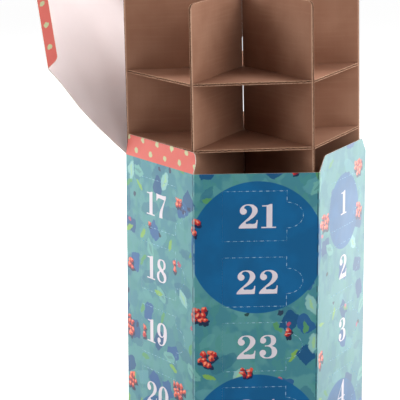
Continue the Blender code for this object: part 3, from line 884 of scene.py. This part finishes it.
# Deep between the flutes hardly any light comes in, so the faces there get a flat dark brown as painted
# shade
flute_shade, tree, shader = new_finish("painted_flute_shade", 0.95, 0.0)
shader.inputs["Base Color"].default_value = ink(60, 34, 24)


def slab(piece):
    """Turns a flat outline in the XZ plane into a solid as thick as the board."""
    piece.location.y = SHEET / 2
    return shaped(settled(piece), "SOLIDIFY", thickness=SHEET, offset=1)


def box_tool(low, high):
    """A block to cut with, between two corners."""
    size = Vector(high) - Vector(low)
    bpy.ops.mesh.primitive_cube_add(size=1, location=(Vector(low) + Vector(high)) / 2, scale=size)
    return settled(bpy.context.object)


def corrugated(solid, name, low, high, crushed=0.0):
    """A board in the XZ plane, from its solid: two liners, and a wave across X cut to the same outline."""
    middle = (LINER - SHEET) / 2
    sheets = []
    for depth in (middle, -middle):
        liner = copied(solid, name)
        liner.scale.y = LINER / SHEET
        liner.location.y = depth
        settled(liner)
        sheets.append(shaped(liner, "BEVEL", width=LINER_ROUND, segments=1, limit_method="ANGLE"))
        for vertex in liner.data.vertices:
            if vertex.co.x > high[0] - EDGE_BAND:
                vertex.co.x -= crushed * (abs(vertex.co.y) - SHEET / 2 + LINER) / LINER
    waves = math.ceil((high[0] - low[0]) / FLUTE) + 1
    bpy.ops.mesh.primitive_grid_add(x_subdivisions=waves * WAVE_STEPS, y_subdivisions=1, size=1,
                                    rotation=(math.pi / 2, 0, 0),
                                    scale=(waves * FLUTE, high[1] - low[1] + 2 * CUT_PAST, 1),
                                    location=((low[0] + high[0]) / 2, 0, (low[1] + high[1]) / 2))
    wave = settled(bpy.context.object)
    swing = SHEET / 2 - LINER - MEDIUM / 2
    for vertex in wave.data.vertices:
        vertex.co.y = swing * math.sin(math.tau * (vertex.co.x - low[0]) / FLUTE)
    shaped(wave, "SOLIDIFY", thickness=MEDIUM, offset=0)
    clip = copied(solid, "clip")
    shaped(wave, "BOOLEAN", object=clip, operation="INTERSECT", solver="EXACT")
    discarded(clip)
    for sheet, finish in ((sheets[0], kraft), (sheets[1], kraft), (wave, fluted)):
        sheet.data.materials.clear()
        for surface in (finish, torn_kraft, flute_shade):
            sheet.data.materials.append(surface)
        # The wave's faces and the liners' inner faces lie deep between the flutes and take the painted
        # flute shade; cut edges take the torn edge finish, outer faces the liner
        for face in sheet.data.polygons:
            if finish is fluted:
                face.material_index = 0 if abs(face.normal.z) > 0.4 or abs(face.normal.x) > 0.8 else 2
            elif abs(face.normal.y) < FACING:
                face.material_index = 1
            else:
                face.material_index = 2 if face.normal.y * face.center.y < 0 else 0
        while sheet.data.uv_layers:
            sheet.data.uv_layers.remove(sheet.data.uv_layers[0])
        mapped(sheet, name="flutes")
    return joined([*sheets, wave], name)


bottom = TRAY_TOP - TRAY_HEIGHT
corners = [(INNER_EDGE, bottom), (TRAY_RADIUS, bottom), (TRAY_RADIUS, TRAY_TOP), (NIB_EDGE, TRAY_TOP),
           (NIB_EDGE, TRAY_TOP - NIB_HEIGHT), (INNER_EDGE, TRAY_TOP - NIB_HEIGHT)]
solid = slab(flat_board(corners, (0, 0, CORNER_RADIUS, 0, 0, 0), "divider_solid"))
for top in SHELF_TOPS:
    cut_with(solid, box_tool((-TOOL_PAST, -TOOL_PAST, top - SHEET - SLOT_PLAY),
                             (SLOT_END + SLOT_PLAY, TOOL_PAST, top + SLOT_PLAY)))
divider = corrugated(solid, "divider", (0.0, bottom), (TRAY_RADIUS, TRAY_TOP), CRUSHED)
for turn, name in enumerate(("right", "back_right", "back_left", "left", "front_left", "front_right")):
    piece = copied(divider, "corrugated_divider_" + name)
    settled(piece, tray_place @ Matrix.Rotation(turn * math.pi / 3, 4, "Z"))
    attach(piece, "tray")
    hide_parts("divider_" + name)
discarded(divider, solid)

turns = [turn * math.pi / 3 for turn in range(6)]
hexagon = [(TRAY_RADIUS * math.cos(turn), TRAY_RADIUS * math.sin(turn)) for turn in turns]
solid = slab(flat_board(hexagon, (0,) * 6, "shelf_solid"))
for turn in turns:
    tool = box_tool((SLOT_END, -TOOL_PAST, -SHEET / 2 - SLOT_PLAY),
                    (TRAY_RADIUS + TOOL_PAST, TOOL_PAST, SHEET / 2 + SLOT_PLAY))
    settled(tool, Matrix.Rotation(turn, 4, "Y"))
    cut_with(solid, tool)
# The plates' flutes run from front to back, so the wave goes across the tray
shelf = corrugated(solid, "shelf", (-TRAY_RADIUS, -TRAY_RADIUS), (TRAY_RADIUS, TRAY_RADIUS))
settled(shelf, Matrix.Rotation(math.pi / 2, 4, "X"))
for top, name in zip(SHELF_TOPS, ("shelf_1", "shelf_2", "shelf_3", "tray_base")):
    piece = copied(shelf, "corrugated_" + name)
    settled(piece, tray_place @ Matrix.Translation((0, 0, top - SHEET / 2)))
    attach(piece, "tray")
    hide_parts(name)
discarded(shelf, solid)


# ---- Lid ----
# The lid is a hexagon of the same board, open on the back left rim. Its lower half bows outward a
# little, and two dotted tuck tabs are folded in along its far sides.
LID_BOW = 0.0036
LID_LEAN = math.radians(30)
BOW_STRIPS = 40
TUCK_DEPTH = 0.012
TUCK_TAPER = 0.0045
TUCK_ROUND = 0.004
TUCK_FOLD = math.radians(-95)
lid_place = side_matrix("back_left", HEIGHT) @ Matrix.Rotation(LID_LEAN, 4, "X")
corners = [(-crease_half, CREASE_PLAY), (crease_half, CREASE_PLAY), (SIDE, apothem),
           (SIDE / 2, 2 * apothem), (-SIDE / 2, 2 * apothem), (-SIDE, apothem)]
lid = flat_board(corners, (0,) * 6, "lid_board")
chosen(lid)
bpy.ops.object.mode_set(mode="EDIT")
for strip in range(1, BOW_STRIPS):
    bpy.ops.mesh.select_all(action="SELECT")
    bpy.ops.mesh.bisect(plane_co=(0, 0, apothem * strip / BOW_STRIPS), plane_no=(0, 0, 1))
bpy.ops.object.mode_set(mode="OBJECT")
for vertex in lid.data.vertices:
    share = min(max(vertex.co.z / apothem, 0), 1)
    fade = min(max(2 * share - 1, 0), 1)
    vertex.co.y -= LID_BOW * math.sin(math.pi * share) * (1 - fade * fade * (3 - 2 * fade))
faced(lid, coral)
mapped(lid)
chosen(lid)
bpy.ops.object.shade_smooth_by_angle(angle=SMOOTH_BELOW)
settled(lid, lid_place)
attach(lid, "lid")
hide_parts("lid_panel")

corners = [(CREASE_PLAY - SIDE / 2, CREASE_PLAY), (SIDE / 2 - CREASE_PLAY, CREASE_PLAY),
           (SIDE / 2 - TUCK_TAPER, TUCK_DEPTH), (TUCK_TAPER - SIDE / 2, TUCK_DEPTH)]
for way, name in ((1, "front"), (-1, "right")):
    tuck = faced(flat_board(corners, (0, 0, TUCK_ROUND, TUCK_ROUND), "tuck_tab_" + name), coral)
    tuck.location.y = -BOARD
    mapped(settled(tuck))
    edge = Matrix.Translation((way * 3 * SIDE / 4, BOARD, 3 * apothem / 2))
    edge = edge @ Matrix.Rotation(way * math.pi / 3, 4, "Y") @ Matrix.Rotation(TUCK_FOLD, 4, "X")
    settled(tuck, lid_place @ edge)
    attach(tuck, "lid_tuck_tab_" + name)
    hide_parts("lid_tuck_tab_" + name)
